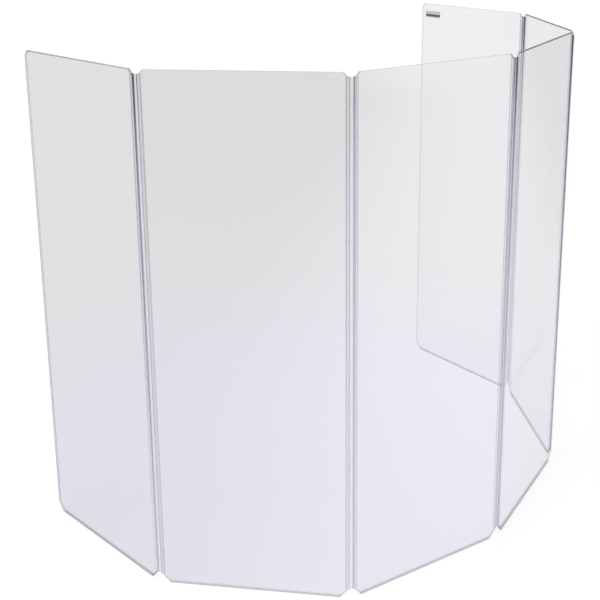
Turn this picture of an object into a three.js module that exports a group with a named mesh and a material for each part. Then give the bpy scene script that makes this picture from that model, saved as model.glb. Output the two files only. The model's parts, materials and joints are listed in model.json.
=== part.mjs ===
// A free-standing clear acoustic screen: six upright sheets in a horseshoe, joined edge to edge by
// full-length flexible hinges. Millimetres, +Z up. It stands on the bottom edges of the sheets.
// The second sheet runs along X with its outer face towards -Y, and the origin is on the floor
// under the middle of the whole screen.
import * as THREE from 'three';

// The sheets, numbered from the left free edge as seen from outside
const sheetWidth = 609.6;
const sheetHeight = 1676.4;
const sheetThickness = 6.35;
const edgeEase = 0.4; // chamfer that breaks the sawn edges
const topClip = 16; // cut off each top corner, along both edges
const footClipWidth = 28; // cut off each bottom corner, to pass cables under the hinges
const footClipHeight = 31;
const clipRound = 3; // rounding where a clip meets a straight edge

// The channels that grip the sheet edges
const gripClearance = 0.3; // between a channel and its sheet
const gripDepth = 9; // how far the legs reach over the sheet
const gripWall = 1.4;
const gripBack = 2.4; // solid behind the sheet's edge
const gripRound = 0.8;
const channelTopInset = 13; // below the top of the sheet

// The flexible webs between the channels
const webThickness = 1.2;
const beadRadius = 2; // round root along each side of a web
const beadClearance = 0.3; // between a root and its groove
const foldClearance = 0.6; // left between two channels when a hinge is folded flat

// The blank plate near the free top corner of the last sheet
const plateWidth = 92;
const plateHeight = 28;
const plateThickness = 0.5;
const plateRound = 4;
const plateSideInset = 26; // from the free edge
const plateTopInset = 31;
const plateGap = 0.3; // thickness of the glue behind it

// How far each hinge is turned inwards as the screen stands, from the left
const hingeTurnsInDegrees = [38, 43, 27, 34, 31];

const cornerSteps = 4;
const beadSteps = 8;

const slotHalf = sheetThickness / 2 + gripClearance;
const channelHalf = slotHalf + gripWall;
const channelBackX = gripClearance + gripBack;
const sheetToAxis = channelBackX + webThickness / 2 + beadClearance;
const axisSpacing = channelHalf * 2 + foldClearance;
const grooveRadius = beadRadius + beadClearance;
const channelLength = sheetHeight - footClipHeight - channelTopInset;

const clearSheet = { color: 0xdfe2e6, roughness: 0.06, metalness: 0, transparent: true, opacity: 0.35 };
const milkyPlastic = { color: 0xcfcfda, roughness: 0.35, metalness: 0, transparent: true, opacity: 0.75 };
const clearVinyl = { color: 0xe6e7ee, roughness: 0.3, metalness: 0, transparent: true, opacity: 0.6 };
const greyPlate = { color: 0x3a3b40, roughness: 0.5, metalness: 0 };

function namedMesh(name, geometry, finish) {
  const mesh = new THREE.Mesh(geometry, new THREE.MeshStandardMaterial(finish));
  mesh.name = name;
  return mesh;
}

// Runs a shape's line to a corner and round it
function turnCorner(shape, before, corner, after, radius) {
  const back = before.clone().sub(corner).normalize();
  const on = after.clone().sub(corner).normalize();
  const halfAngle = back.angleTo(on) / 2;
  const reach = radius / Math.tan(halfAngle);
  const enter = corner.clone().addScaledVector(back, reach);
  const leave = corner.clone().addScaledVector(on, reach);
  shape.lineTo(enter.x, enter.y);
  shape.quadraticCurveTo(corner.x, corner.y, leave.x, leave.y);
}

// A closed outline through corners that are all rounded alike
function roundedShape(corners, radius) {
  const shape = new THREE.Shape();
  const start = corners[0].clone().lerp(corners[1], 1 / 2);
  shape.moveTo(start.x, start.y);
  for (let i = 1; i <= corners.length; i += 1) {
    const before = corners[i - 1];
    const corner = corners[i % corners.length];
    const after = corners[(i + 1) % corners.length];
    turnCorner(shape, before, corner, after, radius);
  }
  shape.closePath();
  return shape;
}

// A shape drawn in X and Z, given a thickness centred on Y
function uprightPlate(shape, thickness, ease) {
  const geometry = new THREE.ExtrudeGeometry(shape, {
    depth: thickness - ease * 2,
    bevelEnabled: ease > 0,
    bevelThickness: ease,
    bevelSize: ease,
    bevelOffset: -ease,
    bevelSegments: 1,
    curveSegments: cornerSteps,
  });
  geometry.rotateX(Math.PI / 2);
  geometry.translate(0, thickness / 2 - ease, 0);
  return geometry;
}

function sheetGeometry() {
  const corners = [
    new THREE.Vector2(footClipWidth, 0),
    new THREE.Vector2(sheetWidth - footClipWidth, 0),
    new THREE.Vector2(sheetWidth, footClipHeight),
    new THREE.Vector2(sheetWidth, sheetHeight - topClip),
    new THREE.Vector2(sheetWidth - topClip, sheetHeight),
    new THREE.Vector2(topClip, sheetHeight),
    new THREE.Vector2(0, sheetHeight - topClip),
    new THREE.Vector2(0, footClipHeight),
  ];
  return uprightPlate(roundedShape(corners, clipRound), sheetThickness, edgeEase);
}

// Section of a channel in plan, with the sheet's edge at X = 0 and the web's axis beyond it on +X:
// two legs over the sheet, a solid back, and a round groove along the back for the web's root
function channelShape() {
  const grooveAngle = Math.acos((channelBackX - sheetToAxis) / grooveRadius);
  const outer = [
    new THREE.Vector2(-gripDepth, slotHalf),
    new THREE.Vector2(-gripDepth, channelHalf),
    new THREE.Vector2(channelBackX, channelHalf),
    new THREE.Vector2(channelBackX, 0),
  ];
  const tipRound = gripWall / 2;
  const mirrored = outer.map((point) => new THREE.Vector2(point.x, -point.y));
  const shape = new THREE.Shape();
  shape.moveTo(gripClearance, -slotHalf);
  shape.lineTo(gripClearance, slotHalf);
  shape.lineTo(-gripDepth, slotHalf);
  turnCorner(shape, outer[0], outer[1], outer[2], tipRound);
  turnCorner(shape, outer[1], outer[2], outer[3], gripRound);
  shape.absarc(sheetToAxis, 0, grooveRadius, grooveAngle, Math.PI * 2 - grooveAngle, false);
  turnCorner(shape, mirrored[3], mirrored[2], mirrored[1], gripRound);
  turnCorner(shape, mirrored[2], mirrored[1], mirrored[0], tipRound);
  shape.lineTo(-gripDepth, -slotHalf);
  shape.closePath();
  return shape;
}

// Section of a web in plan, from one hinge axis at the origin to the other on +X: a thin strip
// with a round root at each end
function webShape() {
  const stripAngle = Math.asin(webThickness / 2 / beadRadius);
  const shape = new THREE.Shape();
  shape.absarc(0, 0, beadRadius, stripAngle, Math.PI * 2 - stripAngle, false);
  shape.absarc(axisSpacing, 0, beadRadius, Math.PI + stripAngle, Math.PI * 3 - stripAngle, false);
  shape.closePath();
  return shape;
}

function hingeGeometry(shape) {
  const geometry = new THREE.ExtrudeGeometry(shape, {
    depth: channelLength,
    bevelEnabled: false,
    curveSegments: beadSteps,
  });
  geometry.translate(0, 0, footClipHeight);
  return geometry;
}

// The plate lies on the inner face, near the top of the edge at X = sheetWidth
function plateGeometry() {
  const right = sheetWidth - plateSideInset;
  const left = right - plateWidth;
  const top = sheetHeight - plateTopInset;
  const bottom = top - plateHeight;
  const corners = [
    new THREE.Vector2(left, bottom),
    new THREE.Vector2(right, bottom),
    new THREE.Vector2(right, top),
    new THREE.Vector2(left, top),
  ];
  const geometry = uprightPlate(roundedShape(corners, plateRound), plateThickness, 0);
  geometry.translate(0, sheetThickness / 2 + plateGap + plateThickness / 2, 0);
  return geometry;
}

// One sheet with the channels on its edges, starting at X = 0 and running along +X
function makeSection(number, count) {
  const section = new THREE.Group();
  section.add(namedMesh(`panel_${number}`, sheetGeometry(), clearSheet));
  if (number > 1) {
    const geometry = hingeGeometry(channelShape()).rotateZ(Math.PI);
    section.add(namedMesh(`hinge_${number - 1}_right_channel`, geometry, milkyPlastic));
  }
  if (number < count) {
    const geometry = hingeGeometry(channelShape()).translate(sheetWidth, 0, 0);
    section.add(namedMesh(`hinge_${number}_left_channel`, geometry, milkyPlastic));
  } else {
    section.add(namedMesh('blank_plate', plateGeometry(), greyPlate));
  }
  return section;
}

// Each section carries the web at its far edge, and that web carries the next section. A hinge
// turns half at each of the web's two axes.
function makeScreen() {
  const sheetCount = hingeTurnsInDegrees.length + 1;
  const screen = new THREE.Group();
  let section = makeSection(1, sheetCount);
  section.rotation.z = -THREE.MathUtils.degToRad(hingeTurnsInDegrees[0]);
  screen.add(section);
  hingeTurnsInDegrees.forEach((turn, index) => {
    const number = index + 1;
    const halfTurn = THREE.MathUtils.degToRad(turn) / 2;
    const web = new THREE.Group();
    web.position.x = sheetWidth + sheetToAxis;
    web.rotation.z = halfTurn;
    web.add(namedMesh(`hinge_${number}_web`, hingeGeometry(webShape()), clearVinyl));
    section.add(web);
    const farAxis = new THREE.Group();
    farAxis.position.x = axisSpacing;
    farAxis.rotation.z = halfTurn;
    web.add(farAxis);
    const next = makeSection(number + 1, sheetCount);
    next.position.x = sheetToAxis;
    farAxis.add(next);
    section = next;
  });
  return screen;
}

const screen = makeScreen();
screen.updateMatrixWorld(true);
const middle = new THREE.Box3().setFromObject(screen, true).getCenter(new THREE.Vector3());
screen.position.set(-middle.x, -middle.y, 0);
screen.updateMatrixWorld(true);

export default screen;
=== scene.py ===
import json
import bpy
import numpy as np
from mathutils import Matrix, Vector

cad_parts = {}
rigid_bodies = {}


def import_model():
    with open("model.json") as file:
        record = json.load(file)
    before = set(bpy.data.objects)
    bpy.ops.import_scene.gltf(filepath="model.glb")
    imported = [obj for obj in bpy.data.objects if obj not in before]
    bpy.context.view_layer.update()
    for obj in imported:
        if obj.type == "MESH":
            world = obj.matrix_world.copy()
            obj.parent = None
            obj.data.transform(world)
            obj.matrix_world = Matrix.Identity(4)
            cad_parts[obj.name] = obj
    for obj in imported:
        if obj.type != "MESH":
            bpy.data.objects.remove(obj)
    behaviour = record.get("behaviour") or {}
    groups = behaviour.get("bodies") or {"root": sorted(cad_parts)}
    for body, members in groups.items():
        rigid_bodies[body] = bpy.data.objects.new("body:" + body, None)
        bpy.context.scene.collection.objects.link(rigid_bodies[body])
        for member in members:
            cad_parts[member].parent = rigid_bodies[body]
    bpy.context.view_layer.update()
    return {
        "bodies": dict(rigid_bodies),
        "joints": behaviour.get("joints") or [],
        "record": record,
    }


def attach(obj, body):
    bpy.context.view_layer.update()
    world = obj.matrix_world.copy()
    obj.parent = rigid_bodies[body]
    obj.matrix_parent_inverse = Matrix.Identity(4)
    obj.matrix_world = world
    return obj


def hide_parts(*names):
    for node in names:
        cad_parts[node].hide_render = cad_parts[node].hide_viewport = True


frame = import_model()
print("frame loaded")

# Places. Everything is in metres. A section is a sheet with the channels on its edges: x runs
# along it from its left edge, as seen from outside, y points to the inside of the horseshoe and
# z is up.
hingeAxes = {joint["name"]: np.array(joint["pos_m"][:2]) for joint in frame["joints"]}
mounts = {mount["name"]: mount for mount in frame["record"]["mounts"]}
sheetCount = len(frame["bodies"]) // 2 + 1  # a web between every two sheets
axisBeyondEdge = 0.0036  # from a sheet's edge to the hinge axis beside it
hingeFoot = 0.031  # heights between which the channels and webs run
hingeTop = 1.6634


# Start, direction and inward direction of a line in plan
def makePlace(start, along):
    along = along / np.linalg.norm(along)
    return {"start": start, "along": along, "inward": np.array([-along[1], along[0]])}


# Section places from the hinge axes and the free edges that the frame gives
def findSection(number):
    if number == 1:
        mount = mounts["free_edge_left"]
        return makePlace(np.array(mount["pos_m"][:2]), -np.array(mount["axis"][:2]))
    axis = hingeAxes[f"hinge_{number - 1}_right_bend"]
    if number == sheetCount:
        along = np.array(mounts["free_edge_right"]["axis"][:2])
    else:
        along = hingeAxes[f"hinge_{number}_left_bend"] - axis
    along = along / np.linalg.norm(along)
    return makePlace(axis + axisBeyondEdge * along, along)


# Place and length of a web, which runs from its left axis to its right one
def findWeb(number):
    left = hingeAxes[f"hinge_{number}_left_bend"]
    across = hingeAxes[f"hinge_{number}_right_bend"] - left
    return makePlace(left, across), float(np.linalg.norm(across))


# Local points to the row frame: start + x along + y inward, with z kept
def putInRow(place, points):
    plan = place["start"] + points[:, :1] * place["along"] + points[:, 1:2] * place["inward"]
    return np.column_stack([plan, points[:, 2]])


# Quads between neighbouring closed rings of equal length, ring after ring
def ringFaces(rings, around, turned=False):
    ring, spot = np.meshgrid(np.arange(rings - 1), np.arange(around), indexing="ij")
    low, high = ring * around, (ring + 1) * around
    after = (spot + 1) % around
    faces = np.stack([low + spot, low + after, high + after, high + spot], -1).reshape(-1, 4)
    return faces[:, ::-1] if turned else faces


# A mesh object from points and faces, with values for each point and a flat map in metres
def buildPiece(name, points, faces, materials, slots, smooth, values, flatMap):
    mesh = bpy.data.meshes.new(name)
    mesh.from_pydata(points.tolist(), [], [list(map(int, face)) for face in faces])
    for material in materials:
        mesh.materials.append(material)
    mesh.polygons.foreach_set("material_index", np.asarray(slots, np.int32))
    mesh.polygons.foreach_set("use_smooth", np.asarray(smooth, bool))
    for label, value in values.items():
        layer = mesh.attributes.new(label, "FLOAT", "POINT")
        layer.data.foreach_set("value", value.astype(np.float32))
    corners = np.zeros(len(mesh.loops), np.int32)
    mesh.loops.foreach_get("vertex_index", corners)
    layer = mesh.uv_layers.new(name="place")
    layer.data.foreach_set("uv", flatMap[corners].astype(np.float32).ravel())
    mesh.update()
    piece = bpy.data.objects.new(name, mesh)
    bpy.context.scene.collection.objects.link(piece)
    return piece


# Shader maths: a socket that takes part in Python expressions
class Flow:
    def __init__(self, tree, socket=None):
        self.tree = tree
        self.socket = socket

    # Adds a node: its type, its settings, then the values or links of its sockets
    def node(self, kind, settings=None, values=None, out=0):
        made = self.tree.nodes.new(kind)
        for label, value in (settings or {}).items():
            setattr(made, label, value)
        for key, value in (values or {}).items():
            if isinstance(value, Flow):
                self.tree.links.new(value.socket, made.inputs[key])
            else:
                made.inputs[key].default_value = value
        return Flow(self.tree, made.outputs[out]) if made.outputs else None

    def maths(self, operation, first, second):
        return self.node("ShaderNodeMath", {"operation": operation}, {0: first, 1: second})

    # 0 below low, 1 above high, smooth between
    def rise(self, low, high):
        values = {"Value": self, "From Min": low, "From Max": high}
        return self.node("ShaderNodeMapRange", {"interpolation_type": "SMOOTHSTEP"}, values)

    def __add__(self, other):
        return self.maths("ADD", self, other)

    def __sub__(self, other):
        return self.maths("SUBTRACT", self, other)

    def __rsub__(self, other):
        return self.maths("SUBTRACT", other, self)

    def __mul__(self, other):
        return self.maths("MULTIPLY", self, other)

    def __pow__(self, other):
        return self.maths("POWER", self, other)

    __radd__ = __add__
    __rmul__ = __mul__


def startMaterial(name):
    material = bpy.data.materials.new(name)
    material.use_nodes = True
    material.node_tree.nodes.clear()
    return material, Flow(material.node_tree)


def endMaterial(flow, shader):
    flow.node("ShaderNodeOutputMaterial", {}, {0: shader})


def mixShaders(flow, share, first, second):
    return flow.node("ShaderNodeMixShader", {}, {0: share, 1: first, 2: second})


def mixValues(share, first, second):
    return first + (second - first) * share


# A colour Mix has its colours on sockets 6 and 7 and its result on 2
def mixColours(flow, share, first, second):
    values = {0: share, 6: first, 7: second}
    return flow.node("ShaderNodeMix", {"data_type": "RGBA"}, values, out=2)


# Values that the mesh carries for each point
def readValues(flow, *labels):
    kind = "ShaderNodeAttribute"
    return [flow.node(kind, {"attribute_name": label}, {}, out="Fac") for label in labels]


def objectPlace(flow):
    return flow.node("ShaderNodeTexCoord", {}, {}, out="Object")


def partOf(flow, vector, axis):
    return flow.node("ShaderNodeSeparateXYZ", {}, {0: vector}, out=axis)


def makeNoise(flow, place, scale, detail):
    return flow.node("ShaderNodeTexNoise", {}, {"Vector": place, "Scale": scale, "Detail": detail})


def makeBump(flow, height, strength, distance):
    values = {"Strength": strength, "Distance": distance, "Height": height}
    return flow.node("ShaderNodeBump", {}, values)


# 0 on a face that looks at the viewer, 1 on one that is seen edge on
def turnedAway(flow):
    return flow.node("ShaderNodeLayerWeight", {}, {"Blend": 0.5}, out="Facing")


# The gloss grows from its plain to its grazing share with the fifth power of the turn away
def glossShare(away, finish):
    return finish["gloss"] + (finish["grazingGloss"] - finish["gloss"]) * away ** 5


def clearShader(flow, finish):
    return flow.node("ShaderNodeBsdfTransparent", {}, {"Color": finish["clear"]})


def glossShader(flow, roughness):
    values = {"Color": (1, 1, 1, 1), "Roughness": roughness}
    return flow.node("ShaderNodeBsdfGlossy", {}, values)


# What shows where a piece is too deep to see through
def mattShader(flow, colour):
    values = {"Base Color": colour, "Roughness": 0.5, "Specular IOR Level": 0.1}
    return flow.node("ShaderNodeBsdfPrincipled", {}, values)


# Polished cast acrylic. Each "Away" is a range of how far a face is turned away.
acrylic = {
    "clear": (0.986, 0.986, 0.99, 1),  # what one face lets through
    "gloss": 0.04,
    "grazingGloss": 0.45,
    "glossRoughness": 0.02,
    "gripDulls": 0.85,  # less gloss where the channels lie on it
    "edgeDulls": 0.6,
    "film": (0.82, 0.82, 0.87, 1),  # wiped dust
    "filmRoughness": 0.5,
    "filmShare": 0.012,
    "smearShare": 0.02,
    "smearScale": 3.1,
    "wipeScale": 5.0,
    "wipeTurn": 0.5,
    "wipeStretch": 9,
    "footShade": (0.42, 0.41, 0.49, 1),  # painted contact shade along the foot
    "footShadeShare": 0.2,
    "footShadeLeast": 0.4,
    "footShadeAway": (0.1, 0.5),
    "footShadeHeights": (0.0036, 0.012),
    "footShadeRagged": 0.006,
    "contactShadow": (0.08, 0.08, 0.09, 1),  # painted contact shadow where it stands on the floor
    "contactShadowShare": 0.5,
    "contactShadowHeights": (0.0011, 0.0022),
    "contactShadowRagged": 0.001,
    "raggedScale": 70.0,
    "edge": (0.04, 0.04, 0.05, 1),  # painted shade where the rim shows through the faces beside it
    "edgeShare": 0.9,
    "edgeAway": (0.25, 0.8),
    "edgeDepths": (0.0026, 0.0045),
    # painted shade on the clipped corners
    "clipShare": 0.75,
    "clipLeast": 0.1,
    "clipAway": (0.15, 0.5),
    "clipPales": 0.6,  # where it is nearly edge on
    "clipPalesAway": (0.55, 0.65),
}


def makeAcrylic():
    material, flow = startMaterial("clear_acrylic")
    depth, clipped, gripped = readValues(flow, "depth", "clipped", "gripped")
    place = flow.node("ShaderNodeUVMap", {"uv_map": "place"})
    height = partOf(flow, place, "Y")
    away = turnedAway(flow)

    smear = makeNoise(flow, place, acrylic["smearScale"], detail=3.0)
    turn, stretch = (0, 0, acrylic["wipeTurn"]), (1, acrylic["wipeStretch"], 1)
    values = {"Vector": place, "Rotation": turn, "Scale": stretch}
    wiped = flow.node("ShaderNodeMapping", {}, values)
    wipe = makeNoise(flow, wiped, acrylic["wipeScale"], detail=2.0)
    ragged = makeNoise(flow, place, acrylic["raggedScale"], detail=2.0) - 0.5
    # Painted contact shade along the foot, darker as the face turns away
    foot = 1 - (height + ragged * acrylic["footShadeRagged"]).rise(*acrylic["footShadeHeights"])
    # Painted contact shadow: a dark line where the sheet stands on the floor
    contactShadow = 1 - (height + ragged * acrylic["contactShadowRagged"]).rise(*acrylic["contactShadowHeights"])
    film = acrylic["filmShare"] + acrylic["smearShare"] * smear * wipe
    footShade = acrylic["footShadeLeast"] + away.rise(*acrylic["footShadeAway"])
    film = film + acrylic["footShadeShare"] * foot * footShade
    film = flow.maths("MAXIMUM", film, contactShadow * acrylic["contactShadowShare"])
    colour = mixColours(flow, foot, acrylic["film"], acrylic["footShade"])
    colour = mixColours(flow, contactShadow, colour, acrylic["contactShadow"])
    values = {"Base Color": colour, "Roughness": acrylic["filmRoughness"]}
    dustAndShadeShader = flow.node("ShaderNodeBsdfPrincipled", {}, values)

    # Painted shade where the rim shows through the faces, more on the clipped corners
    clip = clipped * mixValues(away.rise(*acrylic["clipAway"]), acrylic["clipLeast"], 1)
    edge = away.rise(*acrylic["edgeAway"]) * acrylic["edgeShare"]
    edge = flow.maths("MAXIMUM", edge, clip * acrylic["clipShare"])
    edge = edge * (1 - acrylic["clipPales"] * clipped * away.rise(*acrylic["clipPalesAway"]))
    edge = edge * (1 - depth.rise(*acrylic["edgeDepths"])) * (1 - gripped)
    gloss = glossShare(away, acrylic) * (1 - acrylic["gripDulls"] * gripped)
    gloss = gloss * (1 - acrylic["edgeDulls"] * edge)

    # The dust shader also carries the painted shade and shadow along the foot
    body = mixShaders(flow, film, clearShader(flow, acrylic), dustAndShadeShader)
    body = mixShaders(flow, edge, body, mattShader(flow, acrylic["edge"]))
    endMaterial(flow, mixShaders(flow, gloss, body, glossShader(flow, acrylic["glossRoughness"])))
    return material


# The sawn and flamed rim of a sheet. Its dark body is painted shade.
rim = {
    "clear": (0.95, 0.95, 0.97, 1),
    # painted shade, darkest where the rim is seen edge on
    "body": (0.06, 0.06, 0.075, 1),
    "sawn": (0.14, 0.14, 0.165, 1),
    "roughness": 0.25,
    "sawScale": 900.0,
    "sawStrength": 0.15,
    "sawDistance": 0.0002,
    "least": 0.1,  # shares of the painted shade
    "most": 0.75,
    "away": (0.3, 0.95),
    "clipMore": 0.15,  # on the clipped corners
    "gripLess": 0.9,  # under the channels
}


def makeRim():
    material, flow = startMaterial("acrylic_rim")
    clipped, gripped = readValues(flow, "clipped", "gripped")
    saw = makeNoise(flow, objectPlace(flow), rim["sawScale"], detail=3.0)
    colour = mixColours(flow, saw, rim["body"], rim["sawn"])
    bump = makeBump(flow, saw, rim["sawStrength"], rim["sawDistance"])
    values = {"Base Color": colour, "Roughness": rim["roughness"], "Normal": bump}
    rimShade = flow.node("ShaderNodeBsdfPrincipled", {}, values)
    # Painted shade: more as the rim turns away and on the clipped corners, less under the channels
    share = mixValues(turnedAway(flow).rise(*rim["away"]), rim["least"], rim["most"])
    share = (share + clipped * rim["clipMore"]) * (1 - rim["gripLess"] * gripped)
    endMaterial(flow, mixShaders(flow, share, clearShader(flow, rim), rimShade))
    return material


channelVinyl = {
    "name": "milky_vinyl",
    "clear": (0.985, 0.985, 0.995, 1),
    "milk": (0.74, 0.75, 0.83, 1),
    "thinMilk": 0.05,
    "thickMilk": 0.09,
    "paintedShade": (0.028, 0.055, 0.14, 1),  # painted shade that the solid back shows where one looks along it
    # deeper painted shade at the upper end
    "deepPaintedShade": (0.01, 0.012, 0.03, 1),
    "shadeLow": 0.25,  # shares of painted shade for each surface that is crossed
    "shadeRise": 0.21,
    "shadeCrest": 1.0,
    "shadeThick": 0.012,
    "shadeTip": 0.14,  # at the tips of the legs
    "shadeAskew": 0.2,  # on the outer faces, where they are seen askew
    "shadeSide": 0.25,  # on the outer faces, where they turn away
    "gloss": 0.04,
    "grazingGloss": 0.18,
    "roughness": 0.22,
}
webVinyl = {
    **channelVinyl,
    "name": "clear_vinyl",
    "clear": (0.99, 0.99, 1.0, 1),
    "milk": (0.93, 0.94, 1.0, 1),
    "thinMilk": 0.1,
    "thickMilk": 0.1,
    "shadeLow": 0.0,
    "shadeRise": 0.0,
    "shadeCrest": 0.0,
    "shadeThick": 0.035,
    "shadeTip": 0.0,
    "shadeAskew": 0.0,
    "shadeSide": 0.0,
    "grazingGloss": 0.3,
    "roughness": 0.15,
}

# How the painted shade of the vinyl changes. Each "Away" is a range of how far a face is turned
# away, and each "Climb" a range of heights, as shares of the hinge's top.
shadeChange = {
    "crestPower": 10,  # the crest at the top is the height to this power
    "endClimb": (0.1, 0.8),  # on the faces across the line of the sheet
    "slantAway": (0.1, 0.34),
    "squareLeast": 0.4,
    "squareAway": (0.12, 0.18),
    "slantedLeast": 0.1,
    "slantedMore": 0.27,
    "slantedAway": (0.45, 0.68),
    "edgeOnMore": 0.55,
    "edgeOnAway": (0.72, 0.86),
    "crestSlanted": 0.06,
    "sideAway": (0.3, 0.6),  # on the outer faces
    "sideMore": 0.1,
    "sideClimb": (0.3, 0.9),
    "askewAway": (0.3, 0.5),
    "askewEndAway": (0.52, 0.64),
    "askewClimb": (0.0, 0.7),
    "tipLeast": 0.45,  # at the tips of the legs
    "tipClimb": (0.3, 0.85),
    "tipMore": 0.9,
    "tipAway": (0.1, 0.25),
    "tipEndAway": (0.45, 0.65),
}
vinylGrain = {
    "streakScale": 700.0,
    "streakPull": 0.004,  # drawn out along the extrusion
    "streakLeast": 0.8,  # how much milk is in a streak
    "streakMore": 0.4,
    "streakStrength": 0.1,
    "streakDistance": 0.0002,
    "cloud": (0.66, 0.66, 0.78, 1),
    "cloudShare": 0.5,
    "cloudScale": 9.0,
    "innerGloss": 0.15,  # the inner faces lie vinyl on vinyl
    "shadeDulls": 0.7,
}


# Painted shade on the faces across the line of the sheet: a low share, one that climbs with the
# height and a crest at the top. Where such a face slants away it pales, and seen edge on it
# darkens again.
def endShade(finish, height, crest, away):
    slant = 1 - away.rise(*shadeChange["slantAway"])
    square = mixValues(away.rise(*shadeChange["squareAway"]), shadeChange["squareLeast"], 1)
    slanted = shadeChange["slantedMore"] * (1 - away.rise(*shadeChange["slantedAway"]))
    slanted = shadeChange["slantedLeast"] + slanted
    slanted = slanted + shadeChange["edgeOnMore"] * away.rise(*shadeChange["edgeOnAway"])
    climb = height.rise(*shadeChange["endClimb"])
    paintedShade = finish["shadeLow"] * mixValues(slant, slanted, square)
    paintedShade = paintedShade + finish["shadeRise"] * climb * mixValues(slant, slanted, 1.0)
    return paintedShade + finish["shadeCrest"] * crest * mixValues(slant, shadeChange["crestSlanted"], 1.0)


# Painted shade on the outer faces: on the solid back where they turn away, on all where askew
def outerShade(finish, height, crest, away, thick, outer):
    turned = thick * away.rise(*shadeChange["sideAway"])
    climb = shadeChange["sideMore"] * height.rise(*shadeChange["sideClimb"]) + crest
    askew = away.rise(*shadeChange["askewAway"]) - away.rise(*shadeChange["askewEndAway"])
    askew = askew * outer * height.rise(*shadeChange["askewClimb"])
    return finish["shadeSide"] * turned * outer * climb + askew * finish["shadeAskew"]


# Painted shade at the tips of the legs, which shows best where they are seen a little askew
def tipShade(finish, height, away, tip):
    climb = mixValues(height.rise(*shadeChange["tipClimb"]), shadeChange["tipLeast"], 1)
    turned = 1 + shadeChange["tipMore"] * away.rise(*shadeChange["tipAway"])
    return tip * climb * turned * (1 - away.rise(*shadeChange["tipEndAway"])) * finish["shadeTip"]


# Extruded vinyl. The value "thick" is 0 in a thin wall and 1 in a solid part, "outer" is 1 on the
# faces that show, "end" on those across the line of the sheet and "tip" at the ends of the legs.
# The back of a channel is darkened with painted shade where one looks along the sheet, most of
# all at the upper end.
def makeVinyl(finish):
    material, flow = startMaterial(finish["name"])
    thick, outer, end, tip = readValues(flow, "thick", "outer", "end", "tip")
    place = objectPlace(flow)
    height = partOf(flow, place, "Z") * (1 / hingeTop)
    crest = height ** shadeChange["crestPower"]
    away = turnedAway(flow)
    side = outerShade(finish, height, crest, away, thick, outer)
    paintedShade = end * endShade(finish, height, crest, away) + thick * finish["shadeThick"]
    paintedShade = paintedShade + tipShade(finish, height, away, tip) + side
    # The painted shade is darker towards the top of the hinge
    paintedShadeShader = mattShader(flow, mixColours(flow, crest, finish["paintedShade"], finish["deepPaintedShade"]))

    values = {"Vector": place, "Scale": (1, 1, vinylGrain["streakPull"])}
    pulled = flow.node("ShaderNodeMapping", {}, values)
    streaks = makeNoise(flow, pulled, vinylGrain["streakScale"], detail=2.0)
    bump = makeBump(flow, streaks, vinylGrain["streakStrength"], vinylGrain["streakDistance"])
    cloud = makeNoise(flow, place, vinylGrain["cloudScale"], detail=3.0)
    cloud = cloud * vinylGrain["cloudShare"]
    colour = mixColours(flow, cloud, finish["milk"], vinylGrain["cloud"])
    milk = mixValues(thick, finish["thinMilk"], finish["thickMilk"])
    milk = milk * (vinylGrain["streakLeast"] + vinylGrain["streakMore"] * streaks)
    values = {"Base Color": colour, "Roughness": finish["roughness"], "Normal": bump}
    milkShader = flow.node("ShaderNodeBsdfPrincipled", {}, values)

    body = mixShaders(flow, milk, clearShader(flow, finish), milkShader)
    body = mixShaders(flow, flow.maths("MINIMUM", paintedShade, 1.0), body, paintedShadeShader)
    gloss = glossShare(away, finish) * mixValues(outer, vinylGrain["innerGloss"], 1)
    gloss = gloss * (1 - vinylGrain["shadeDulls"] * side)
    endMaterial(flow, mixShaders(flow, gloss, body, glossShader(flow, finish["roughness"])))
    return material


plateFinish = {
    "film": (0.55, 0.55, 0.57, 1),
    "band": (0.05, 0.05, 0.055, 1),
    "bandFoot": 1.6214,
    "bandTop": 1.6314,
    "bandBlur": 0.0003,
    "fleck": (0.75, 0.75, 0.78, 1),
    "fleckShare": 0.12,
    "grainScale": 1500.0,
    "grainStrength": 0.12,
    "grainDistance": 0.0001,
    "roughness": 0.35,
    "roughnessMore": 0.2,
}


# A blank film plate: pale grey over a plain dark band
def makePlateFinish():
    material, flow = startMaterial("blank_film")
    place = objectPlace(flow)
    height = partOf(flow, place, "Z")
    foot, top, blur = plateFinish["bandFoot"], plateFinish["bandTop"], plateFinish["bandBlur"]
    band = height.rise(foot, foot + blur) * (1 - height.rise(top, top + blur))
    grain = makeNoise(flow, place, plateFinish["grainScale"], detail=3.0)
    bump = makeBump(flow, grain, plateFinish["grainStrength"], plateFinish["grainDistance"])
    colour = mixColours(flow, band, plateFinish["film"], plateFinish["band"])
    colour = mixColours(flow, grain * plateFinish["fleckShare"], colour, plateFinish["fleck"])
    roughness = plateFinish["roughness"] + plateFinish["roughnessMore"] * grain
    values = {"Base Color": colour, "Roughness": roughness, "Normal": bump}
    endMaterial(flow, flow.node("ShaderNodeBsdfPrincipled", {}, values))
    return material


acrylicMaterial = makeAcrylic()
rimMaterial = makeRim()
channelMaterial = makeVinyl(channelVinyl)
webMaterial = makeVinyl(webVinyl)
plateMaterial = makePlateFinish()
print("materials made")

sheet = {
    "width": 0.6096,
    "height": 1.6764,
    "thickness": 0.00635,
    "topClip": 0.016,
    "footClipWidth": 0.028,
    "footClipHeight": 0.031,
    "cornerRound": 0.003,
    "cornerSteps": 6,
    "ease": 0.0007,
    "easeSteps": 3,
    "bandDepths": [0.018, 0.012, 0.008, 0.005, 0.003, 0.0018, 0.001],  # rings on the faces
    "innerRound": 0.5,  # share of the corners' rounding at the innermost ring
    "gripDepth": 0.0085,  # covered by a channel
    "uprightFrom": 0.95,  # the least part of the normal along the sheet on an upright edge
    "footClipShade": 0.3,  # how dark the painted shade on the clips at the foot is, against those at the top
    "freeClipShade": 0.3,  # and those of a free edge, against those beside a hinge
    "mapStep": 2.0,  # moves the flat map on, so that no two sheets have the same smears
}


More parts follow.
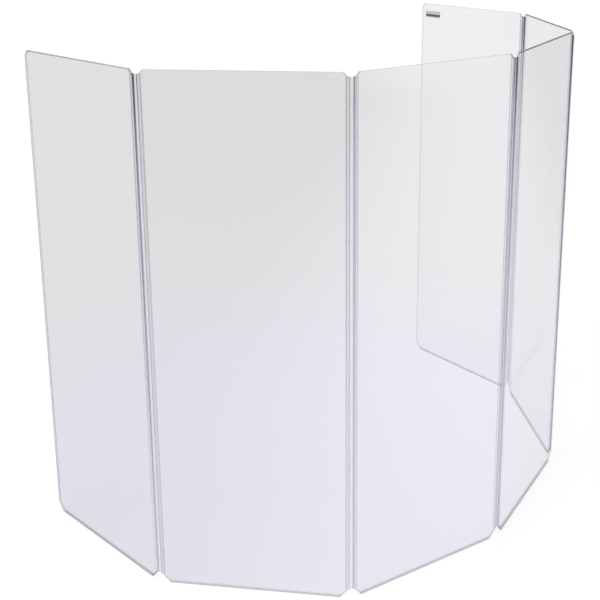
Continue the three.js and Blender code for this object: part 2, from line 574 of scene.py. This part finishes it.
# Points of a rounded outline, moved inwards by depth, and their inward normals. A corner's arc is
# its mitred corner less the radius times the normal, as the normal turns from side to side.
def outlineRing(corners, radius, depth, steps):
    before = corners - np.roll(corners, 1, axis=0)
    before = before / np.linalg.norm(before, axis=1, keepdims=True)
    after = np.roll(before, -1, axis=0)
    inBefore = np.column_stack([-before[:, 1], before[:, 0]])
    inAfter = np.column_stack([-after[:, 1], after[:, 0]])
    mitre = (inBefore + inAfter) / (1 + np.sum(inBefore * inAfter, axis=1, keepdims=True))
    cross = before[:, 0] * after[:, 1] - before[:, 1] * after[:, 0]
    turn = np.arctan2(cross, np.sum(before * after, axis=1))
    angle = turn[:, None] * np.linspace(0, 1, steps + 1)
    cosine, sine = np.cos(angle)[..., None], np.sin(angle)[..., None]
    sideways = np.column_stack([-inBefore[:, 1], inBefore[:, 0]])
    normal = inBefore[:, None] * cosine + sideways[:, None] * sine
    ring = corners[:, None] + (depth + radius) * mitre[:, None] - radius * normal
    return ring.reshape(-1, 2), normal.reshape(-1, 2)


# A flat plate with eased edges, in x and z, centred on y: rings of the outline from the outer face
# over the rim to the inner face, each at its own depth inwards from the edge and its own y. With
# the mesh come the faces on the rim, and each point's depth and inward normal.
def buildPlate(corners, form):
    ease, half, bandDepths = form["ease"], form["thickness"] / 2, form["bandDepths"]
    angle = np.linspace(0, np.pi / 2, form["easeSteps"] + 1)
    depths = np.concatenate([bandDepths, ease * (1 - np.sin(angle))])
    levels = np.concatenate([np.full(len(bandDepths), half), half - ease * (1 - np.cos(angle))])
    depths = np.concatenate([depths, depths[::-1]])
    levels = np.concatenate([-levels, levels[::-1]])
    radii = 1 - (1 - form["innerRound"]) * depths / max(bandDepths[0], ease)
    radii = form["cornerRound"] * radii
    steps = form["cornerSteps"]
    made = [outlineRing(corners, radius, depth, steps) for radius, depth in zip(radii, depths)]
    rings, normals = zip(*made)
    around = len(rings[0])
    flat = np.concatenate(rings)
    points = np.column_stack([flat[:, 0], np.repeat(levels, around), flat[:, 1]])
    sides = ringFaces(len(rings), around, turned=True)
    last = (len(rings) - 1) * around
    caps = [np.arange(around), last + np.arange(around)[::-1]]
    inEase = depths <= ease * 1.01  # with room for rounding errors
    onRim = np.append(np.repeat(inEase[:-1] & inEase[1:], around), [False, False])
    return points, list(sides) + caps, onRim, np.repeat(depths, around), np.concatenate(normals)


# A sheet on its eight corners. The value "clipped" is twice the product of the normal's two parts,
# so it is 0 along the straight sides and 1 where a corner is cut at 45 degrees.
def buildSheet(number):
    wide, tall, clip = sheet["width"], sheet["height"], sheet["topClip"]
    footWide, footTall = sheet["footClipWidth"], sheet["footClipHeight"]
    corners = np.array([
        (footWide, 0),
        (wide - footWide, 0),
        (wide, footTall),
        (wide, tall - clip),
        (wide - clip, tall),
        (clip, tall),
        (0, tall - clip),
        (0, footTall),
    ])
    points, faces, onRim, depth, normal = buildPlate(corners, sheet)
    across, up = normal[:, 0], normal[:, 1]
    held = np.where(points[:, 0] < wide / 2, number > 1, number < sheetCount)  # has a channel
    clipped = 2 * np.abs(across * up) * np.where(up < 0, 1, sheet["footClipShade"])
    values = {
        "depth": depth,
        "clipped": clipped * np.where(held, 1, sheet["freeClipShade"]),
        "gripped": held * (np.abs(across) > sheet["uprightFrom"]) * (depth < sheet["gripDepth"]),
    }
    flatMap = points[:, [0, 2]] + [sheet["mapStep"] * number, 0]
    row = putInRow(findSection(number), points)
    materials = [acrylicMaterial, rimMaterial]
    name = f"sheet_{number}"
    piece = buildPiece(name, row, faces, materials, onRim, onRim, values, flatMap)
    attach(piece, f"section_{number}")
    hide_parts(f"panel_{number}")


for number in range(1, sheetCount + 1):
    buildSheet(number)
print("sheets made")

channel = {
    "slotHalf": 0.003475,
    "wall": 0.0014,
    "reach": 0.009,  # of the legs over the sheet
    "legPoints": [-0.0072, -0.0066, -0.006, -0.0045, -0.003, -0.0015, -0.0006],
    "slotEnd": 0.0003,  # beyond the sheet's edge
    "back": 0.0027,
    "backRound": 0.0008,
    "grooveRadius": 0.0023,
    "tipSteps": 8,
    "backSteps": 4,
    "grooveSteps": 12,
    "endEase": 0.00015,
    "sharpAngle": 40,
    "tipBand": 0.003,  # width of the painted grey line at the tip of a leg
    "tipFade": 0.0006,
    "legThick": 0.1,  # how thick the legs count
    "thickFade": 0.0009,
    "outerFade": 0.0004,
    "endFull": 0.0022,  # from the middle of the back
    "endNone": 0.0034,
}


# Points on an arc: the centre plus the radius times the cosine and sine of even angles
def arc(centreX, centreY, radius, fromDegrees, toDegrees, steps):
    angle = np.radians(np.linspace(fromDegrees, toDegrees, steps + 1))
    return np.column_stack([centreX + radius * np.cos(angle), centreY + radius * np.sin(angle)])


# Points at several x and one y
def levelLine(x, y):
    return np.column_stack([x, np.full(len(x), y)])


# A closed line carried straight up, with a small ease at both ends. The line runs anticlockwise
# seen from above; at the ends each point moves in along the normal of the line.
def carryUp(profile, foot, top, ease):
    ahead = np.roll(profile, -1, axis=0) - profile
    ahead = ahead / np.linalg.norm(ahead, axis=1, keepdims=True)
    tangent = ahead + np.roll(ahead, 1, axis=0)
    tangent = tangent / np.linalg.norm(tangent, axis=1, keepdims=True)
    small = profile + ease * np.column_stack([-tangent[:, 1], tangent[:, 0]])
    rings = [(small, foot), (profile, foot + ease), (profile, top - ease), (small, top)]
    around = len(profile)
    points = np.concatenate([np.column_stack([ring, np.full(around, z)]) for ring, z in rings])
    sides = ringFaces(len(rings), around)
    caps = [np.arange(around)[::-1], (len(rings) - 1) * around + np.arange(around)]
    return points, list(sides) + caps


# A strip of the hinge from its section in plan, with values for each point of the section
def buildStrip(name, profile, place, material, values):
    points, faces = carryUp(profile, hingeFoot, hingeTop, channel["endEase"])
    levels = len(points) // len(profile)
    values = {label: np.tile(value, levels) for label, value in values.items()}
    smooth = np.append(np.ones(len(faces) - 2, bool), [False, False])
    slots = np.zeros(len(faces))
    row, flatMap = putInRow(place, points), points[:, [0, 2]]
    piece = buildPiece(name, row, faces, [material], slots, smooth, values, flatMap)
    piece.data.set_sharp_from_angle(angle=np.radians(channel["sharpAngle"]))
    return piece


# Section of a channel: two legs over the sheet, a solid back and a round groove for the web's
# root. The sheet's edge is at x = 0.
def channelProfile():
    slot, wall, back = channel["slotHalf"], channel["wall"], channel["back"]
    outer, tip, turn = slot + wall, wall / 2, channel["backRound"]
    tipX, tipSteps = tip - channel["reach"], channel["tipSteps"]
    legX, fade = np.array(channel["legPoints"]), channel["endNone"]
    radius, grooveSteps = channel["grooveRadius"], channel["grooveSteps"]
    opening = np.degrees(np.arccos((back - axisBeyondEdge) / radius))
    lowerTip = arc(tipX, -(slot + tip), tip, 90, 270, tipSteps)
    upperTip = arc(tipX, slot + tip, tip, 90, 270, tipSteps)
    lowerBack = arc(back - turn, turn - outer, turn, -90, 0, channel["backSteps"])
    upperBack = arc(back - turn, outer - turn, turn, 0, 90, channel["backSteps"])
    slotY = np.array([slot, fade, channel["endFull"]])
    slotY = np.append(slotY, -slotY[::-1])
    return np.concatenate([
        lowerTip,
        levelLine(legX, -outer),
        lowerBack,
        [(back, -fade)],
        arc(axisBeyondEdge, 0, radius, 360 - opening, opening, grooveSteps),
        [(back, fade)],
        upperBack,
        levelLine(legX[::-1], outer),
        upperTip,
        levelLine(legX, slot),
        levelLine(slotY, channel["slotEnd"])[:, ::-1],
        levelLine(legX[::-1], -slot),
    ])


# Each value of a channel is a straight ramp along x or off the middle, cut off at 0 and 1
def buildChannel(hinge, side):
    profile = channelProfile()
    x, off = profile[:, 0], np.abs(profile[:, 1])
    fade, full, none = channel["thickFade"], channel["endFull"], channel["endNone"]
    tipEnd = channel["tipBand"] - channel["reach"]
    values = {
        "thick": np.maximum(np.clip((x + fade) / fade, 0, 1), channel["legThick"]),
        "outer": np.clip((off - channel["slotHalf"]) / channel["outerFade"], 0, 1),
        "end": (x > 0) * np.clip((none - off) / (none - full), 0, 1),
        "tip": np.clip((tipEnd - x) / channel["tipFade"], 0, 1),
    }
    if side == "left":
        section, placed = hinge, profile + [sheet["width"], 0]
    else:
        section, placed = hinge + 1, -profile
    name = f"hinge_{hinge}_{side}_strip"
    piece = buildStrip(name, placed, findSection(section), channelMaterial, values)
    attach(piece, f"section_{section}")
    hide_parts(f"hinge_{hinge}_{side}_channel")


for hinge in range(1, sheetCount):
    buildChannel(hinge, "left")
    buildChannel(hinge, "right")
print("channels made")

web = {
    "rootRadius": 0.002,
    "rootSteps": 18,
    "rootOpen": 0.2,  # shares of the root's radius, where its round leaves off
    "stripFrom": 0.25,  # and where the strip starts
    "strip": 0.0012,
    "middle": 0.00095,  # the strip thins towards its middle, where it bends
    "stripSteps": 16,
    "blend": 0.0004,
    "thickTo": 0.0013,  # from a root's middle
    "thickFade": 0.0009,
}


# Section of a web from its left axis at the origin: the upper side's height over x is the smooth
# maximum of the root's circle and the strip's half thickness, and the lower side mirrors it
def webProfile(length):
    radius, half, start = web["rootRadius"], length / 2, web["stripFrom"] * web["rootRadius"]
    x = half - half * np.cos(np.linspace(0, np.pi, 2 * web["stripSteps"] + 1))
    x = x[(x > start) & (x < length - start)]
    fromRoot = np.minimum(x, length - x)
    circle = np.sqrt(np.maximum(radius**2 - fromRoot**2, 0))
    thinned = (web["strip"] - web["middle"]) / 2
    flat = web["middle"] / 2 + thinned * ((x - half) / half) ** 2
    height = (circle + flat + np.sqrt((circle - flat) ** 2 + web["blend"] ** 2)) / 2
    edge, steps = np.degrees(np.arccos(web["rootOpen"])), web["rootSteps"]
    left = arc(0, 0, radius, edge, 360 - edge, steps)
    right = arc(length, 0, radius, edge - 180, 180 - edge, steps)
    upper = np.column_stack([x, height])[::-1]
    return np.concatenate([left, np.column_stack([x, -height]), right, upper])


# A web, whose "thick" falls from 1 at the roots to 0 in the strip and whose "outer" is the rest
def buildWeb(hinge):
    place, length = findWeb(hinge)
    profile = webProfile(length)
    fromRoot = np.minimum(profile[:, 0], length - profile[:, 0])
    thick = 1 - np.clip((fromRoot - web["thickTo"]) / web["thickFade"], 0, 1)
    values = {"thick": thick, "outer": 1 - thick, "end": 0 * thick, "tip": 0 * thick}
    piece = buildStrip(f"hinge_{hinge}_flex", profile, place, webMaterial, values)
    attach(piece, f"web_{hinge}")
    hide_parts(f"hinge_{hinge}_web")


for hinge in range(1, sheetCount):
    buildWeb(hinge)
print("webs made")

plate = {
    "wide": 0.092,
    "tall": 0.028,
    "thickness": 0.0005,
    "cornerRound": 0.004,
    "cornerSteps": 8,
    "ease": 0.00012,
    "easeSteps": 2,
    "bandDepths": [0.002, 0.001],
    "innerRound": 0.5,
    "fromFreeEdge": 0.026,
    "fromTop": 0.031,
    "glue": 0.0003,
}


def buildBlankPlate():
    right = sheet["width"] - plate["fromFreeEdge"]
    left = right - plate["wide"]
    top = sheet["height"] - plate["fromTop"]
    foot = top - plate["tall"]
    corners = np.array([(left, foot), (right, foot), (right, top), (left, top)])
    points, faces, onRim, _, _ = buildPlate(corners, plate)
    points[:, 1] += sheet["thickness"] / 2 + plate["glue"] + plate["thickness"] / 2
    row, flatMap = putInRow(findSection(sheetCount), points), points[:, [0, 2]]
    slots = np.zeros(len(faces))
    name = "blank_film_plate"
    piece = buildPiece(name, row, faces, [plateMaterial], slots, onRim, {}, flatMap)
    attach(piece, f"section_{sheetCount}")
    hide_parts("blank_plate")


buildBlankPlate()
print("plate made")

# The studio. The floor and the world look white to the camera, and a shade darker through the
# sheets. A ray counts the clear faces that it has crossed, two to a sheet.
studio = {
    "daylight": 0.55,
    "daylightColour": (0.97, 0.98, 1.0, 1),
    "white": (1, 1, 1, 1),
    "oneFace": (0.4, 0.6),  # counts of crossed faces
    "secondSheet": (2.4, 2.6),
    "backdropFar": (0.742, 0.742, 0.738, 1),
    "backdropNear": (0.748, 0.728, 0.795, 1),
    "nearDistances": (0.8, 2.6),
    "lift": 0.13,  # painted light: lighter from the left to the right
    "liftAcross": (-1.0, 0.8),
    "liftSlantsFrom": 8.0,
    "liftSlant": 0.3,
    "corner": 0.16,  # less light in the far right corner
    "cornerAcross": (0.75, 1.45),
    "cornerBack": (1.0, 4.0),
    "cornerOneSheet": 0.2,  # share of it through one sheet
    "mirrored": 0.82,
    "mirroredFront": 0.35,
    "frontBack": (-8.0, -1.5),
    "glow": 0.52,  # the floor's own light to the camera, beside what the lamps give it
    "floorToCamera": 0.5,
    "floorToLamps": 0.8,
    "floorHalf": 60.0,
    "floorDrop": 0.0005,
    "worldDistance": 12.0,
}


def lightPath(flow, *kinds):
    return [flow.node("ShaderNodeLightPath", {}, {}, out=kind) for kind in kinds]


def greyLevel(flow, level):
    return flow.node("ShaderNodeCombineXYZ", {}, {0: level, 1: level, 2: level})


def lengthOf(flow, vector):
    return flow.node("ShaderNodeVectorMath", {"operation": "LENGTH"}, {0: vector}, out="Value")


# What the camera, mirrors and glass see of the studio at a place, given as a vector in metres
def backdropColour(flow, place):
    crossed, mirrored = lightPath(flow, "Transparent Depth", "Is Glossy Ray")
    x, y = partOf(flow, place, "X"), partOf(flow, place, "Y")
    near = 1 - lengthOf(flow, place).rise(*studio["nearDistances"])
    grey = mixColours(flow, near, studio["backdropFar"], studio["backdropNear"])
    beyond = flow.maths("MAXIMUM", y - studio["liftSlantsFrom"], 0.0)
    lift = (x + studio["liftSlant"] * beyond).rise(*studio["liftAcross"]) * studio["lift"]
    corner = x.rise(*studio["cornerAcross"]) * y.rise(*studio["cornerBack"])
    twice = crossed.rise(*studio["secondSheet"])
    corner = corner * mixValues(twice, studio["cornerOneSheet"], 1)
    level = greyLevel(flow, lift - corner * studio["corner"])
    lifted = flow.node("ShaderNodeVectorMath", {"operation": "ADD"}, {0: grey, 1: level})
    through = crossed.rise(*studio["oneFace"])
    seen = mixColours(flow, through, studio["white"], lifted)
    front = 1 - y.rise(*studio["frontBack"])
    reflected = greyLevel(flow, mixValues(front, studio["mirrored"], studio["mirroredFront"]))
    return mixColours(flow, mirrored, seen, reflected)


# 1 for rays from the camera and for those that gloss and glass send on
def showsBackdrop(flow):
    kinds = "Is Camera Ray", "Is Glossy Ray", "Is Transmission Ray"
    camera, glossy, transmitted = lightPath(flow, *kinds)
    return flow.maths("MINIMUM", camera + glossy + transmitted, 1.0)


def makeFloor():
    material, flow = startMaterial("studio_floor")
    colour = backdropColour(flow, objectPlace(flow))
    glow = flow.node("ShaderNodeEmission", {}, {"Color": colour, "Strength": studio["glow"]})
    level = studio["floorToCamera"]
    values = {0: colour, 1: (level, level, level)}
    dimmed = flow.node("ShaderNodeVectorMath", {"operation": "MULTIPLY"}, values)
    lit = flow.node("ShaderNodeBsdfDiffuse", {}, {"Color": dimmed})
    seen = flow.node("ShaderNodeAddShader", {}, {0: glow, 1: lit})
    level = studio["floorToLamps"]
    plain = flow.node("ShaderNodeBsdfDiffuse", {}, {"Color": (level, level, level, 1)})
    endMaterial(flow, mixShaders(flow, showsBackdrop(flow), plain, seen))
    mesh = bpy.data.meshes.new("studio_floor")
    half = studio["floorHalf"]
    corners = [(-half, -half, 0), (half, -half, 0), (half, half, 0), (-half, half, 0)]
    mesh.from_pydata(corners, [], [(0, 1, 2, 3)])
    mesh.materials.append(material)
    floor = bpy.data.objects.new("studio_floor", mesh)
    bpy.context.scene.collection.objects.link(floor)
    floor.location.z = -studio["floorDrop"]


# The world shows the backdrop at one distance all round. To a world, Generated is the direction.
def makeWorld():
    world = bpy.data.worlds.new("studio")
    world.use_nodes = True
    world.node_tree.nodes.clear()
    flow = Flow(world.node_tree)
    direction = flow.node("ShaderNodeTexCoord", {}, {}, out="Generated")
    values = {0: direction, "Scale": studio["worldDistance"]}
    place = flow.node("ShaderNodeVectorMath", {"operation": "SCALE"}, values)
    values = {"Color": backdropColour(flow, place), "Strength": 1.0}
    shown = flow.node("ShaderNodeBackground", {}, values)
    values = {"Color": studio["daylightColour"], "Strength": studio["daylight"]}
    light = flow.node("ShaderNodeBackground", {}, values)
    shader = mixShaders(flow, showsBackdrop(flow), light, shown)
    flow.node("ShaderNodeOutputWorld", {}, {0: shader})
    bpy.context.scene.world = world


# Wide suns, so that the shadows are soft. Their widths are in degrees.
lamps = {
    "key": {
        "towards": (0.55, 0.75, -0.95),
        "strength": 1.25,
        "width": 50,
        "colour": (1, 0.99, 0.98),
    },
    "fill": {
        "towards": (-0.9, 0.35, -0.8),
        "strength": 0.55,
        "width": 70,
        "colour": (0.98, 0.99, 1),
    },
    "rear": {
        "towards": (0.2, -0.9, -0.7),
        "strength": 0.45,
        "width": 60,
        "colour": (1, 1, 1),
    },
}


def makeLamps():
    for name, lamp in lamps.items():
        light = bpy.data.lights.new(name, "SUN")
        light.energy = lamp["strength"]
        light.angle = np.radians(lamp["width"])
        light.color = lamp["colour"]
        placed = bpy.data.objects.new(name, light)
        placed.rotation_mode = "QUATERNION"
        placed.rotation_quaternion = Vector(lamp["towards"]).to_track_quat("-Z", "Y")
        bpy.context.scene.collection.objects.link(placed)


makeFloor()
makeWorld()
makeLamps()
print("studio made")

# The camera, solved from the corners of the sheets in the photograph
view = {
    "place": (0.567846, -4.057094, 2.144371),
    "turn": 9.357,  # to the left of +Y
    "down": 15.622,
    "roll": -0.6515,
    "lens": 66.232,
    "sensor": 36,
    "shiftY": -94 / 600,
    "clipEnd": 200,
}


def makeCamera():
    turn, down, roll = np.radians([view["turn"], view["down"], view["roll"]])
    ahead = Vector((-np.sin(turn) * np.cos(down), np.cos(turn) * np.cos(down), -np.sin(down)))
    level = Vector((np.cos(turn), np.sin(turn), 0))
    upright = level.cross(ahead)
    right = np.cos(roll) * level + np.sin(roll) * upright
    up = -np.sin(roll) * level + np.cos(roll) * upright
    data = bpy.data.cameras.new("camera")
    data.lens = view["lens"]
    data.sensor_width = view["sensor"]
    data.shift_y = view["shiftY"]
    data.clip_end = view["clipEnd"]
    camera = bpy.data.objects.new("camera", data)
    turned = Matrix((right, up, -ahead)).transposed().to_4x4()
    camera.matrix_world = Matrix.Translation(view["place"]) @ turned
    bpy.context.scene.collection.objects.link(camera)
    bpy.context.scene.camera = camera


makeCamera()
scene = bpy.context.scene
scene.view_settings.view_transform = "Standard"
scene.cycles.max_bounces = 24  # enough to see through all the sheets and hinges
scene.cycles.transparent_max_bounces = 64

print("camera made")
